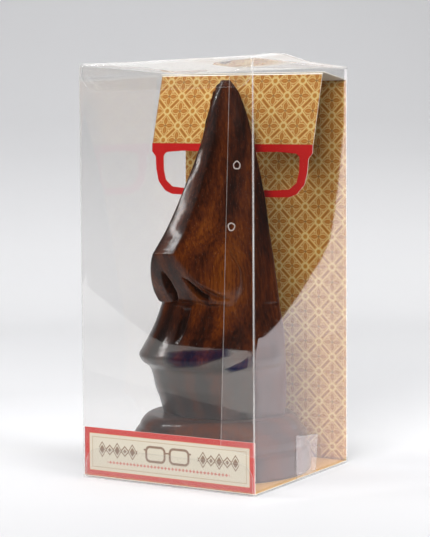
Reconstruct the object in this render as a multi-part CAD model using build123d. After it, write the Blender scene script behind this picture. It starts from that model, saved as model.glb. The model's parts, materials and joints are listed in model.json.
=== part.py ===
from build123d import *
import math
import os

# Boxed nose-shaped eyeglasses stand.
# Millimetres, +Z up. Origin: centre of the carton's bottom face. The label side faces -Y.

# ---- driving dimensions ----
BOX_W = 85.6          # carton width and depth, outside
BOX_H = 178.0         # carton height, outside
T = 0.3               # clear sheet thickness
CT = 0.35             # card thickness
H = BOX_W / 2.0
IN = H - T            # inner face of the walls
WALL_TOP = 176.95     # top of the front and side walls
BACK_TOP = 177.5      # top of the back wall, where the lid is creased
FLAP_Z = 177.05       # underside of the closed dust flaps
LID_Z = BOX_H - T     # underside of the closed lid
TUCK_L = 12.0         # lid tuck flap length
TUCK_LEAN = 1.4       # how far the tuck flap leans inwards at its free edge
DUST_L = 30.0         # dust flap length

FLOOR_Z = 0.65        # underside of the card floor
HOLDER_Z = FLOOR_Z + CT + 0.05
AXIS_X, AXIS_Y = 1.0, 0.5      # where the plinth's axis stands on the floor
NOSE_TURN = 10.536             # degrees the nose is turned from -Y towards -X

PLINTH_R = 40.0
COLUMN_Z0 = 26.0      # the column stands on the plinth's flat top
DOWEL_R = 5.0
DOWEL_L = 24.0

FOLD_Y = 21.2         # front edge of the card shelf, where the glasses flap hangs
FOLD_Z = 175.2
HANG_Y = 13.3         # where the flap's straight lower part hangs
BEND_Z = 143.9        # lower edge of the patterned panel
TILT = 1.25           # degrees the card's top has slipped clockwise

os.makedirs("parts", exist_ok=True)


def box(x0, x1, y0, y1, z0, z1):
    return Pos((x0 + x1) / 2, (y0 + y1) / 2, (z0 + z1) / 2) * Box(x1 - x0, y1 - y0, z1 - z0)


def plate(points, plane, thickness):
    face = make_face(Polyline(*points, close=True))
    return extrude(plane * face, thickness)


def save(shape, name, colour):
    shape.color = Color(*colour)
    shape.label = name
    export_step(shape, os.path.join("parts", name + ".step"))


CLEAR = (0.85, 0.88, 0.9)
CARD = (0.75, 0.55, 0.2)
WOOD = (0.3, 0.15, 0.08)

# ---- carton: one creased clear sheet, wall by wall ----
save(box(-IN, IN, -H, -IN, T + 0.05, WALL_TOP), "carton_front_wall", CLEAR)
save(box(IN, H, -H, H, T + 0.05, WALL_TOP), "carton_right_wall", CLEAR)
save(box(-H, -IN, -H, H, T + 0.05, WALL_TOP), "carton_left_wall", CLEAR)
save(box(-IN, IN, IN, H, T + 0.05, BACK_TOP), "carton_back_wall", CLEAR)

# seam flap: continues the right wall round the corner, glued behind the front wall
seam = plate(
    [(IN, 16.0), (IN, 175.0), (IN - 10.8, 172.0), (IN - 16.0, 19.0)],
    Plane(origin=(0, -IN, 0), x_dir=(1, 0, 0), z_dir=(0, -1, 0)),
    -T,
)
save(seam, "carton_seam_flap", CLEAR)

# two ring-shaped glue spots on the seam
spots = None
for sx, sz in ((34.7, 134.3), (32.0, 109.5)):
    ring = Pos(sx, -IN + T, sz) * Rot(90, 0, 0) * (
        Cylinder(1.9, 0.12, align=(Align.CENTER, Align.CENTER, Align.MAX))
        - Cylinder(1.15, 0.12, align=(Align.CENTER, Align.CENTER, Align.MAX))
    )
    spots = ring if spots is None else spots + ring
save(spots, "seam_glue_spots", (0.95, 0.95, 0.95))

# ---- top closure ----
# The lid is creased at the back wall. Its right edge has sprung up a little near the front.
LID_X = (-IN + 0.2, 5.0, 18.0, 28.0, 36.0, IN - 0.2)
LID_SHARE = (0.0, 0.0, 0.12, 0.42, 0.78, 1.0)
LID_LIFT = ((-IN + 0.1, 0.0), (-30.6, 1.45), (-22.0, 2.2), (-15.6, 2.4), (-5.0, 1.5), (10.0, 0.2), (H, 0.0))
lid_sections = []
for ly, lift in LID_LIFT:
    upper = [Vector(x, ly, BOX_H + lift * f) for x, f in zip(LID_X, LID_SHARE)]
    lower = [Vector(x, ly, LID_Z + lift * f) for x, f in zip(LID_X, LID_SHARE)]
    lid_sections.append(Wire.make_polygon(upper + lower[::-1], close=True))
save(Solid.make_loft(lid_sections, True), "lid_panel", CLEAR)

tuck_w = IN - 1.0
tuck_pts = [(-tuck_w, 0.0), (tuck_w, 0.0), (tuck_w, -5.0), (tuck_w - 2.0, -9.5),
            (tuck_w - 7.0, -TUCK_L), (-tuck_w + 7.0, -TUCK_L), (-tuck_w + 2.0, -9.5), (-tuck_w, -5.0)]
lean = math.degrees(math.atan2(TUCK_LEAN, TUCK_L))
tuck = plate(tuck_pts, Plane(origin=(0, 0, 0), x_dir=(1, 0, 0), z_dir=(0, -1, 0)), -T)
tuck = Pos(0, -IN + 0.15, LID_Z - 0.08) * Rot(lean, 0, 0) * tuck
save(tuck, "lid_tuck_flap", CLEAR)


def dust(side):
    pts = [(0.0, -40.0), (DUST_L - 4.0, -31.0), (DUST_L, -27.0), (DUST_L, 16.0), (DUST_L - 4.0, 21.0), (0.4, 41.6), (0.0, 41.8)]
    pts = [(side * (H - u), y) for u, y in pts]
    return plate(pts, Plane.XY.offset(FLAP_Z), T)


save(dust(-1), "dust_flap_left", CLEAR)
save(dust(1), "dust_flap_right", CLEAR)

# ---- bottom closure, taped shut ----
save(box(-H, H, -H, H, 0.0, T), "bottom_panel", CLEAR)
btuck = plate(
    [(-tuck_w, 0.36), (tuck_w, 0.36), (tuck_w, 6.0), (tuck_w - 6.0, 13.0), (-tuck_w + 6.0, 13.0), (-tuck_w, 6.0)],
    Plane(origin=(0, -IN + 0.35, 0), x_dir=(1, 0, 0), z_dir=(0, -1, 0)),
    -T,
)
save(btuck, "bottom_tuck_flap", CLEAR)


def bottom_dust(side):
    pts = [(0.05, -38.0), (26.0, -30.0), (26.0, 30.0), (0.05, 38.0)]
    pts = [(side * (IN - u), y) for u, y in pts]
    return plate(pts, Plane.XY.offset(T), T - 0.02)


save(bottom_dust(-1), "bottom_dust_flap_left", CLEAR)
save(bottom_dust(1), "bottom_dust_flap_right", CLEAR)

# clear seal on the right wall, over the bottom edge
tape = plate(
    [(-7.3, 0.0), (10.6, 0.0), (12.6, 17.8), (-7.3, 19.8)],
    Plane(origin=(H, 0, 0), x_dir=(0, 1, 0), z_dir=(1, 0, 0)),
    0.08,
)
save(tape, "tape_seal", (0.9, 0.9, 0.92))

# ---- printed card insert ----
CX = IN - 0.25
back_y = IN - 0.05
label_y = -IN + 0.75
rise = CX * math.tan(math.radians(TILT))
shelf_back_z = 172.75

back_pts = [(-CX, FLOOR_Z + CT), (CX, FLOOR_Z + CT), (CX, shelf_back_z - rise), (-CX, shelf_back_z + rise)]
back_panel = plate(back_pts, Plane(origin=(0, back_y, 0), x_dir=(1, 0, 0), z_dir=(0, -1, 0)), CT)
save(back_panel, "card_back_panel", CARD)
save(box(-CX, CX, label_y, back_y, FLOOR_Z, FLOOR_Z + CT), "card_floor_panel", CARD)
save(box(-CX, CX, label_y, label_y + CT, FLOOR_Z + CT, 22.0), "card_label_panel", (0.9, 0.85, 0.75))


def slipped(shape):
    """the card's top sits a little clockwise of level"""
    return Pos(0, 0, FOLD_Z) * Rot(0, TILT, 0) * Pos(0, 0, -FOLD_Z) * shape


shelf_pts = [(back_y, shelf_back_z + 0.02), (FOLD_Y, FOLD_Z), (FOLD_Y, FOLD_Z + CT), (back_y, shelf_back_z + 0.02 + CT)]
shelf = extrude(Plane(origin=(-CX + 0.1, 0, 0), x_dir=(0, 1, 0), z_dir=(1, 0, 0)) * make_face(Polyline(*shelf_pts, close=True)), 2 * CX - 0.2)
save(slipped(shelf), "card_shelf_panel", CARD)

# glasses flap: slopes forward from the shelf's fold, then hangs straight down as a pair of cut-out frames
flap_y = FOLD_Y - 0.3
slope = math.atan2(flap_y - HANG_Y, FOLD_Z - BEND_Z)


def sloping(points):
    """points are (x, z) as seen from the front; the plane passes through the fold"""
    flat = [(x, (z - FOLD_Z) / math.cos(slope)) for x, z in points]
    plane = Plane(origin=(0, flap_y, FOLD_Z), x_dir=(1, 0, 0), z_dir=(0, -math.cos(slope), math.sin(slope)))
    return extrude(plane * make_face(Polyline(*flat, close=True)), CT)


def hanging(outline, hole):
    plane = Plane(origin=(0, HANG_Y, 0), x_dir=(1, 0, 0), z_dir=(0, -1, 0))
    face = make_face(Polyline(*outline, close=True)) - make_face(Polyline(*hole, close=True))
    return extrude(plane * face, CT)


arch = []
for k in range(13):
    t = math.radians(180 * k / 12.0)
    arch.append((8.8 * math.cos(t), BEND_Z + 4.5 * math.sin(t)))
panel_pts = [(-41.3, FOLD_Z - 0.3), (41.3, FOLD_Z - 0.3), (41.3, BEND_Z)] + arch + [(-41.3, BEND_Z)]
save(slipped(sloping(panel_pts)), "card_glasses_panel", CARD)

FRAME_OUT = [(8.8, BEND_Z), (41.3, BEND_Z), (41.3, 140.2), (39.3, 137.8), (38.9, 132.0), (37.6, 126.6), (34.0, 122.4),
             (30.2, 120.9), (17.0, 120.6), (12.6, 122.0), (10.8, 126.0), (10.2, 135.0)]
FRAME_IN = [(13.3, 140.4), (24.5, 140.6), (33.5, 139.9), (35.0, 138.4), (34.8, 132.0), (33.6, 127.2), (30.0, 124.3),
            (22.6, 123.7), (16.6, 123.8), (14.2, 126.4), (13.5, 132.0)]


def mirrored(points):
    return [(-x, z) for x, z in points]


save(slipped(hanging(mirrored(FRAME_OUT), mirrored(FRAME_IN))), "card_left_eyeglass", (0.75, 0.1, 0.12))
save(slipped(hanging(FRAME_OUT, FRAME_IN)), "card_right_eyeglass", (0.75, 0.1, 0.12))

# ---- turned plinth ----
SEAT = COLUMN_Z0 - HOLDER_Z    # flat top of the plinth, above its foot
profile = [(0, 0), (38.8, 0), (PLINTH_R, 1.2), (PLINTH_R, 9.6), (39.2, 11.0), (38.0, 11.6), (38.0, 12.6), (38.4, 13.6),
           (38.3, 15.2), (37.5, 17.3), (36.2, 18.9), (35.7, 19.5)]
with BuildSketch(Plane.XZ) as plinth_sketch:
    with BuildLine():
        Polyline(*profile)
        Spline((35.7, 19.5), (35.0, 21.3), (33.8, 23.0), (32.4, 24.3), (31.0, SEAT))
        Polyline((31.0, SEAT), (0, SEAT), (0, 0))
    make_face()
plinth = revolve(plinth_sketch.sketch, Axis.Z, 360)
hole = Pos(0, 0, COLUMN_Z0 - 1.05 - DOWEL_L / 2) * Cylinder(DOWEL_R, DOWEL_L / 2, align=(Align.CENTER, Align.CENTER, Align.MIN))
plinth = Pos(AXIS_X, AXIS_Y, HOLDER_Z) * (plinth - hole)
save(plinth, "base_plinth", WOOD)

# ---- carved column: nose, lips and chin ----
# Half sections. u runs the way the nose points, w sideways.
# height, ridge u w, wing u w, groove u w, back corner u w
TOP = [
    (75.0, 23.0, 15.0, 17.5, 19.5, 11.0, 21.6, -10.8, 26.8),
    (79.0, 25.4, 15.5, 15.0, 21.3, 9.5, 21.4, -10.6, 26.4),
    (84.0, 29.2, 13.6, 13.0, 22.9, 10.0, 21.4, -10.3, 25.8),
    (89.0, 32.4, 11.0, 12.8, 23.0, 10.5, 21.0, -10.1, 25.0),
    (94.0, 35.0, 8.2, 14.6, 21.4, 11.5, 19.6, -9.9, 24.4),
    (97.0, 36.2, 6.2, 16.4, 19.8, 12.5, 18.4, -9.7, 23.9),
    (101.0, 32.8, 6.1, 16.5, 17.2, 12.0, 17.4, -9.5, 23.2),
    (106.0, 28.8, 5.9, 14.5, 14.8, 10.0, 16.6, -9.2, 22.4),
    (112.0, 24.9, 5.6, 12.0, 12.8, 6.5, 15.8, -8.9, 21.6),
    (120.0, 19.9, 5.2, 8.0, 12.0, 3.0, 14.8, -8.5, 20.4),
    (130.0, 14.7, 4.6, 5.0, 10.5, 1.0, 13.2, -8.0, 18.4),
    (140.0, 9.9, 3.8, 3.0, 8.4, -0.5, 10.9, -7.5, 16.1),
    (150.0, 5.8, 3.1, 1.0, 6.4, -2.0, 8.7, -7.0, 13.8),
    (160.0, 2.3, 2.4, -1.0, 4.7, -3.2, 6.5, -6.6, 11.5),
    (166.0, 0.0, 1.9, -2.2, 3.6, -4.0, 5.1, -6.3, 9.5),
    (169.0, -1.4, 1.6, -3.0, 2.8, -4.2, 3.9, -6.2, 6.9),
    (171.5, -2.9, 1.2, -3.6, 1.6, -4.4, 1.9, -6.0, 2.6),
]
# height, front reach, side reach, back corner u w
LOW = [
    (26.0, 22.6, 26.0, -13.3, 27.4),
    (33.0, 25.6, 27.0, -12.9, 28.6),
    (38.0, 28.4, 27.6, -12.7, 29.1),
    (43.0, 29.8, 28.2, -12.4, 29.2),
    (47.0, 31.4, 29.4, -12.2, 29.2),
    (50.0, 35.8, 31.6, -12.1, 29.2),
    (52.5, 37.2, 32.2, -12.0, 29.2),
    (55.0, 35.6, 31.4, -11.8, 29.0),
    (60.0, 32.0, 29.4, -11.6, 28.8),
    (66.0, 28.8, 27.0, -11.3, 28.2),
    (75.0, 25.6, 24.2, -10.8, 26.8),
]

tr = math.radians(NOSE_TURN)
NX, NY = -math.sin(tr), -math.cos(tr)


def interp(table, z):
    for a, b in zip(table, table[1:]):
        if z <= b[0]:
            t = max(0.0, (z - a[0]) / (b[0] - a[0]))
            return [x + (y - x) * t for x, y in zip(a[1:], b[1:])]
    return list(table[-1][1:])


def between(p, q, t):
    return (p[0] + (q[0] - p[0]) * t, p[1] + (q[1] - p[1]) * t)


def half_low(z):
    a, b, u3, w3 = interp(LOW, z)
    e = 2.0 / 2.15
    pts = []
    for d in (0, 14, 28, 40, 52, 64, 77):
        t = math.radians(d)
        pts.append((a * math.cos(t) ** e, b * math.sin(t) ** e))
    pts += [(0.0, b), (u3 * 0.5, b + (w3 - b) * 0.5), (u3 + 2.2, w3), (u3, w3 - 2.4), (u3 - 0.4, w3 * 0.5), (u3 - 0.5, 0.0)]
    return pts


def half_top(z):
    u0, w0, u1, w1, u2, w2, u3, w3 = interp(TOP, z)
    rr = min(2.2, w3 * 0.3)
    a, b, g, k = (u0, w0), (u1, w1), (u2, w2), (u3, w3)
    return [(u0 + 0.25, 0.0), (u0 + 0.1, w0 * 0.55), (u0 - 0.35, w0 * 0.97), between(a, b, 0.12), between(a, b, 0.45),
            between(a, b, 0.78), b, g, between(g, k, 0.5), (u3 + rr, w3), (u3, w3 - rr), (u3 - 0.4, w3 * 0.45), (u3 - 0.5, 0.0)]


def section(half, z):
    ring = half + [(u, -w) for u, w in half[-2:0:-1]]
    pts = [(AXIS_X + u * NX - w * NY, AXIS_Y + u * NY + w * NX, z) for u, w in ring]
    return Wire([Edge.make_spline([Vector(*p) for p in pts], periodic=True)])


sections = [section(half_low(z), z) for z in (26.0, 33.0, 38.0, 43.0, 47.0, 50.0, 52.5, 55.0, 60.0, 66.0, 74.8)]
sections += [section(half_top(z), z) for z in (75.2, 79.0, 84.0, 89.0, 94.0, 97.0, 101.0, 106.0, 112.0, 120.0, 130.0, 140.0, 150.0, 160.0, 166.0, 169.0, 171.5)]
column = Solid.make_loft(sections, True)


def at(u, w, z):
    return (AXIS_X + u * NX - w * NY, AXIS_Y + u * NY + w * NX, z)


# nostrils: two slots leaning in towards the tip
for side in (-1, 1):
    lo = at(25.2, side * 9.0, 77.9)
    hi = at(34.2, side * 4.4, 91.5)
    v = Vector(hi[0] - lo[0], hi[1] - lo[1], hi[2] - lo[2])
    column = column - Solid.make_cone(2.62, 0.5, v.length, Plane(origin=lo, z_dir=v.normalized()))
    column = column - Pos(*lo) * Sphere(2.7)
dowel_hole = Pos(AXIS_X, AXIS_Y, COLUMN_Z0) * Cylinder(DOWEL_R, DOWEL_L / 2, align=(Align.CENTER, Align.CENTER, Align.MIN))
column = column - dowel_hole
save(column, "nose_column", WOOD)

dowel = Pos(AXIS_X, AXIS_Y, COLUMN_Z0 - DOWEL_L / 2) * Cylinder(DOWEL_R, DOWEL_L, align=(Align.CENTER, Align.CENTER, Align.MIN))
save(dowel, "joining_dowel", (0.7, 0.55, 0.35))
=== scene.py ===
import json
import math

import bpy
import mathutils
import numpy as np
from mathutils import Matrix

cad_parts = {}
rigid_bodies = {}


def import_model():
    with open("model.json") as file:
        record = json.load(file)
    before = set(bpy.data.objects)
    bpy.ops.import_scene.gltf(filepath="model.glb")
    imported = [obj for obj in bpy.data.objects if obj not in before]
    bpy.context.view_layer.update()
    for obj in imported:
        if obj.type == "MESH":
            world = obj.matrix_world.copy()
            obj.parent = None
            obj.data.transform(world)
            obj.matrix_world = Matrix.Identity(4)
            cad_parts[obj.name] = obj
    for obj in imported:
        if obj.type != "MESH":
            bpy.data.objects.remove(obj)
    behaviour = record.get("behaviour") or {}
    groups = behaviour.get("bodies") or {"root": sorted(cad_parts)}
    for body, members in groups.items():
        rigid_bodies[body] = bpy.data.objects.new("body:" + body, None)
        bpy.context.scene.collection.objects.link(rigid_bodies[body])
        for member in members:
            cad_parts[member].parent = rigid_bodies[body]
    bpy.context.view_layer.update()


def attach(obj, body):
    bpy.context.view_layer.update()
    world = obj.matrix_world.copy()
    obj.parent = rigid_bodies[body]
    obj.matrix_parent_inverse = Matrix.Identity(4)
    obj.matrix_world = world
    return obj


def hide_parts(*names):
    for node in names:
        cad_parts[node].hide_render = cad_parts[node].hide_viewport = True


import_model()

MM = 0.001
RNG = np.random.default_rng(7)

# ------------------------------------------------------------------ dimensions (mm), as in the CAD
H = 42.8
T = 0.3
IN = H - T
BOX_H = 178.0
CT = 0.35
AXIS = (1.0, 0.5)
TURN = math.radians(10.536)
NX, NY = -math.sin(TURN), -math.cos(TURN)
HOLDER_Z = 1.05
FOLD_Y, FOLD_Z, HANG_Y, BEND_Z = 21.2, 175.2, 13.3, 143.9
TILT = math.radians(1.25)


# ------------------------------------------------------------------ helpers
def new_mesh(name, verts, faces, mat, body, stands_for, smooth=True, uv=None, mats=None, face_mats=None):
    me = bpy.data.meshes.new(name)
    v = np.asarray(verts, float) * MM
    me.from_pydata([tuple(p) for p in v], [], [tuple(int(i) for i in f) for f in faces])
    me.validate()
    for m in mats or [mat]:
        me.materials.append(m)
    if face_mats is not None:
        me.polygons.foreach_set("material_index", np.asarray(face_mats, np.int32))
    me.polygons.foreach_set("use_smooth", [smooth] * len(me.polygons))
    if uv is not None:
        layer = me.uv_layers.new(name="flat")
        loops = np.zeros(len(me.loops), np.int32)
        me.loops.foreach_get("vertex_index", loops)
        layer.data.foreach_set("uv", (np.asarray(uv, float)[loops] * 0.01).astype(np.float32).ravel())
    me.update()
    o = bpy.data.objects.new(name, me)
    bpy.context.scene.collection.objects.link(o)
    if body:
        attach(o, body)
        if stands_for:
            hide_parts(*stands_for)
    return o


def grid_faces(rows, cols, wrap=False, offset=0, flip=False):
    f = []
    for i in range(rows - 1):
        for j in range(cols if wrap else cols - 1):
            k = (j + 1) % cols
            q = (offset + i * cols + j, offset + i * cols + k, offset + (i + 1) * cols + k, offset + (i + 1) * cols + j)
            f.append(q[::-1] if flip else q)
    return f


def sheet_solid(grid, normal, thick):
    """Closed thin sheet from a (rows, cols, 3) grid: the grid is one face, the other is offset along normal."""
    rows, cols = grid.shape[:2]
    top = grid.reshape(-1, 3)
    bot = top + np.asarray(normal, float).reshape(-1, 3) * thick if np.ndim(normal) > 1 else top + np.asarray(normal, float) * thick
    n = rows * cols
    f = grid_faces(rows, cols, flip=False)
    f += grid_faces(rows, cols, offset=n, flip=True)
    edge = [(0, j) for j in range(cols)] + [(i, cols - 1) for i in range(1, rows)]
    edge += [(rows - 1, j) for j in range(cols - 2, -1, -1)] + [(i, 0) for i in range(rows - 2, 0, -1)]
    idx = [i * cols + j for i, j in edge]
    for a, b in zip(idx, idx[1:] + idx[:1]):
        f.append((b, a, a + n, b + n))
    return np.concatenate([top, bot]), f


def smoothstep(a, b, x):
    t = np.clip((np.asarray(x, float) - a) / (b - a), 0, 1)
    return t * t * (3 - 2 * t)


def noise2(x, y, seed, cells):
    """Smooth value noise with a fixed table."""
    r = np.random.default_rng(seed).random((cells + 2, cells + 2))
    xi, yi = np.clip(x, 0, 0.9999) * cells, np.clip(y, 0, 0.9999) * cells
    i, j = xi.astype(int), yi.astype(int)
    fx, fy = xi - i, yi - j
    fx, fy = fx * fx * (3 - 2 * fx), fy * fy * (3 - 2 * fy)
    return (r[i, j] * (1 - fx) * (1 - fy) + r[i + 1, j] * fx * (1 - fy) + r[i, j + 1] * (1 - fx) * fy + r[i + 1, j + 1] * fx * fy) * 2 - 1


# ------------------------------------------------------------------ node helper
class Nodes:
    def __init__(self, name):
        self.m = bpy.data.materials.new(name)
        self.m.use_nodes = True
        self.t = self.m.node_tree
        self.t.nodes.clear()
        self.out = self.t.nodes.new("ShaderNodeOutputMaterial")

    def n(self, kind, **props):
        node = self.t.nodes.new("ShaderNode" + kind)
        for k, v in props.items():
            setattr(node, k, v)
        return node

    def link(self, a, b):
        self.t.links.new(a, b)

    def put(self, socket, value):
        if isinstance(value, bpy.types.NodeSocket):
            self.link(value, socket)
        elif isinstance(value, (tuple, list)) and len(value) == 3 and socket.type == "RGBA":
            socket.default_value = (*value, 1)
        else:
            socket.default_value = value

    def math(self, op, a, b=None, c=None, clamp=False):
        node = self.n("Math", operation=op, use_clamp=clamp)
        self.put(node.inputs[0], a)
        if b is not None:
            self.put(node.inputs[1], b)
        if c is not None:
            self.put(node.inputs[2], c)
        return node.outputs[0]

    def step(self, x, edge, soft):
        """1 where x is below edge, falling to 0 over soft."""
        return self.math("MULTIPLY_ADD", self.math("SUBTRACT", x, edge), -1.0 / soft, 0.5, clamp=True)

    def mix(self, f, a, b):
        node = self.n("Mix", data_type="RGBA")
        self.put(node.inputs[0], f)
        self.put(node.inputs[6], a)
        self.put(node.inputs[7], b)
        return node.outputs[2]

    def ramp(self, f, stops):
        node = self.n("ValToRGB")
        el = node.color_ramp.elements
        while len(el) > 1:
            el.remove(el[-1])
        el[0].position, el[0].color = stops[0][0], (*stops[0][1], 1)
        for p, c in stops[1:]:
            e = el.new(p)
            e.color = (*c, 1)
        self.put(node.inputs[0], f)
        return node.outputs[0]

    def noise(self, vec, scale, detail=3.0, rough=0.5, distortion=0.0):
        node = self.n("TexNoise")
        if vec is not None:
            self.link(vec, node.inputs["Vector"])
        node.inputs["Scale"].default_value = scale
        node.inputs["Detail"].default_value = detail
        node.inputs["Roughness"].default_value = rough
        node.inputs["Distortion"].default_value = distortion
        return node.outputs[0]

    def mapping(self, vec, scale=(1, 1, 1), loc=(0, 0, 0), rot=(0, 0, 0)):
        node = self.n("Mapping")
        self.link(vec, node.inputs[0])
        node.inputs["Location"].default_value = loc
        node.inputs["Rotation"].default_value = rot
        node.inputs["Scale"].default_value = scale
        return node.outputs[0]

    def obj(self):
        return self.n("TexCoord").outputs["Object"]

    def uv(self):
        return self.n("UVMap", uv_map="flat").outputs[0]

    def bump(self, height, strength, distance):
        node = self.n("Bump")
        node.inputs["Strength"].default_value = strength
        node.inputs["Distance"].default_value = distance
        self.link(height, node.inputs["Height"])
        return node.outputs[0]

    def principled(self, **sockets):
        node = self.n("BsdfPrincipled")
        for k, v in sockets.items():
            self.put(node.inputs[k.replace("_", " ")], v)
        self.link(node.outputs[0], self.out.inputs[0])
        return node


def lin(r, g, b):
    """8-bit screen colour to linear."""
    def c(x):
        x = x / 255.0
        return x / 12.92 if x <= 0.04045 else ((x + 0.055) / 1.055) ** 2.4
    return (c(r), c(g), c(b))


# ------------------------------------------------------------------ materials
def wood_material(name, ring_shift, darkness=1.0, painted_light_shade_and_swirl=False, coat=0.42):
    """Dark oiled hardwood: vertical grain streaks, pores, cathedral bands, under a gloss varnish."""
    k = Nodes(name)
    p = k.obj()
    warp = k.noise(k.mapping(p, (14, 14, 5)), 1.0, 2.0, 0.5)
    shift = k.n("VectorMath", operation="SCALE")
    comb = k.n("CombineXYZ")
    k.link(k.math("MULTIPLY_ADD", warp, 0.016, -0.008), comb.inputs[0])
    k.link(k.math("MULTIPLY_ADD", warp, 0.012, -0.006), comb.inputs[1])
    add = k.n("VectorMath", operation="ADD")
    k.link(p, add.inputs[0])
    k.link(comb.outputs[0], add.inputs[1])
    q = add.outputs[0]
    # growth rings: a cone round a tilted axis outside the block, cut by the carving
    r = k.mapping(q, (1, 1, 0.22), ring_shift, (0.12, -0.2, 0.3))
    ln = k.n("VectorMath", operation="LENGTH")
    k.link(r, ln.inputs[0])
    rings = k.math("SINE", k.math("MULTIPLY", ln.outputs["Value"], 620.0))
    rings = k.math("MULTIPLY_ADD", rings, 0.5, 0.5)
    streak = k.noise(k.mapping(q, (1, 1, 0.07)), 820.0, 4.0, 0.62)
    broad = k.noise(k.mapping(q, (1, 1, 0.16)), 62.0, 3.0, 0.55)
    fine = k.noise(k.mapping(q, (1, 1, 0.12)), 2300.0, 2.0, 0.6)
    v = k.math("MULTIPLY_ADD", rings, 0.13, 0.09)
    v = k.math("ADD", v, k.math("MULTIPLY", streak, 0.46))
    v = k.math("ADD", v, k.math("MULTIPLY", broad, 0.28))
    v = k.math("ADD", v, k.math("MULTIPLY", fine, 0.2))
    if painted_light_shade_and_swirl:
        # painted light: a paler patch round one point on the near wing of the nose, with a faint swirl of rings in it
        off = k.n("VectorMath", operation="SUBTRACT")
        k.link(q, off.inputs[0])
        off.inputs[1].default_value = (0.0195, -0.0185, 0.0875)
        fl = k.n("VectorMath", operation="LENGTH")
        k.link(k.mapping(off.outputs[0], (1.0, 1.0, 0.8)), fl.inputs[0])
        near = k.math("SUBTRACT", 1.0, k.math("MULTIPLY", fl.outputs["Value"], 1 / 0.026), clamp=True)
        near = k.math("MULTIPLY", near, k.math("SUBTRACT", 2.0, near))
        v = k.math("ADD", v, k.math("MULTIPLY", near, 0.115))
        swirl = k.math("SINE", k.math("MULTIPLY", fl.outputs["Value"], 2900.0))
        v = k.math("ADD", v, k.math("MULTIPLY", k.math("MULTIPLY", swirl, near), 0.018))
        # painted shade: the wood is darker below the nose, over the lip and chin, standing in for the shade under the
        # nose
        height_ = k.n("SeparateXYZ")
        k.link(p, height_.inputs[0])
        below = k.math("MULTIPLY_ADD", height_.outputs[2], -1 / 0.014, 0.080 / 0.014, clamp=True)
        v = k.math("ADD", v, k.math("MULTIPLY", below, -0.06))
    d = darkness
    col = k.ramp(v, [
        (0.40, tuple(c * d for c in lin(20, 7, 4))),
        (0.52, tuple(c * d for c in lin(43, 17, 6))),
        (0.62, tuple(c * d for c in lin(72, 30, 9))),
        (0.72, tuple(c * d for c in lin(106, 48, 13))),
        (0.84, tuple(c * d for c in lin(142, 74, 20))),
    ])
    pores = k.noise(k.mapping(q, (1, 1, 0.05)), 2600.0, 1.0, 0.5)
    pore = k.step(pores, 0.33, 0.08)
    col = k.mix(k.math("MULTIPLY", pore, 0.75), col, lin(16, 8, 6))
    rough = k.math("MULTIPLY_ADD", streak, 0.16, 0.24)
    height = k.math("SUBTRACT", k.math("MULTIPLY", streak, 0.5), pore)
    b = k.principled(Base_Color=col, Roughness=rough)
    b.inputs["Specular IOR Level"].default_value = 0.05
    b.inputs["Coat Weight"].default_value = coat
    b.inputs["Coat Roughness"].default_value = 0.13
    b.inputs["Coat IOR"].default_value = 1.5
    k.link(k.bump(height, 0.35, 0.00012), b.inputs["Normal"])
    wave = k.noise(k.mapping(p, (1, 1, 0.5)), 110.0, 2.0, 0.5)
    k.link(k.bump(wave, 0.06, 0.0004), b.inputs["Coat Normal"])
    return k.m


def film_material(name, haze=0.0, tint=(0.993, 0.991, 0.988), ripple=0.0, graze=0.0, share=0.5):
    """Clear film: mostly passes light, mirrors by Fresnel, with a little scuffing."""
    k = Nodes(name)
    clear = k.n("BsdfTransparent")
    clear.inputs[0].default_value = (*tint, 1)
    gloss = k.n("BsdfGlossy")
    gloss.inputs["Roughness"].default_value = 0.02
    gloss.inputs[0].default_value = (1, 1, 1, 1)
    fres = k.n("Fresnel")
    # the same reflectance from either side of the thin sheet
    k.put(fres.inputs["IOR"], k.math("MULTIPLY_ADD", k.n("NewGeometry").outputs["Backfacing"], 1 / 1.45 - 1.45, 1.45))
    if ripple:
        hgt = k.noise(k.mapping(k.obj(), (1, 1, 1)), 300.0, 2.0, 0.5)
        bmp = k.bump(hgt, ripple, 0.001)
        k.link(bmp, gloss.inputs["Normal"])
        k.link(bmp, fres.inputs["Normal"])
    mix = k.n("MixShader")
    k.link(fres.outputs[0], mix.inputs[0])
    k.link(clear.outputs[0], mix.inputs[1])
    k.link(gloss.outputs[0], mix.inputs[2])
    final = mix.outputs[0]
    if haze:
        dull = k.n("BsdfDiffuse")
        dull.inputs[0].default_value = (0.95, 0.95, 0.95, 1)
        m2 = k.n("MixShader")
        scuff = k.noise(k.mapping(k.obj(), (1, 1, 0.4)), 60.0, 4.0, 0.6)
        amount = k.math("MULTIPLY", k.math("MULTIPLY_ADD", scuff, 1.2, -0.1, clamp=True), haze)
        if graze:
            lw = k.n("LayerWeight")
            lw.inputs["Blend"].default_value = 0.5
            amount = k.math("ADD", amount, k.math("MULTIPLY", k.math("POWER", lw.outputs["Facing"], 4.0), graze), clamp=True)
        k.put(m2.inputs[0], amount)
        k.link(final, m2.inputs[1])
        thru = k.n("BsdfTranslucent")
        thru.inputs[0].default_value = (0.95, 0.95, 0.95, 1)
        both = k.n("MixShader")
        both.inputs[0].default_value = share
        k.link(dull.outputs[0], both.inputs[1])
        k.link(thru.outputs[0], both.inputs[2])
        k.link(both.outputs[0], m2.inputs[2])
        final = m2.outputs[0]
    k.link(final, k.out.inputs[0])
    return k.m


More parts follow.
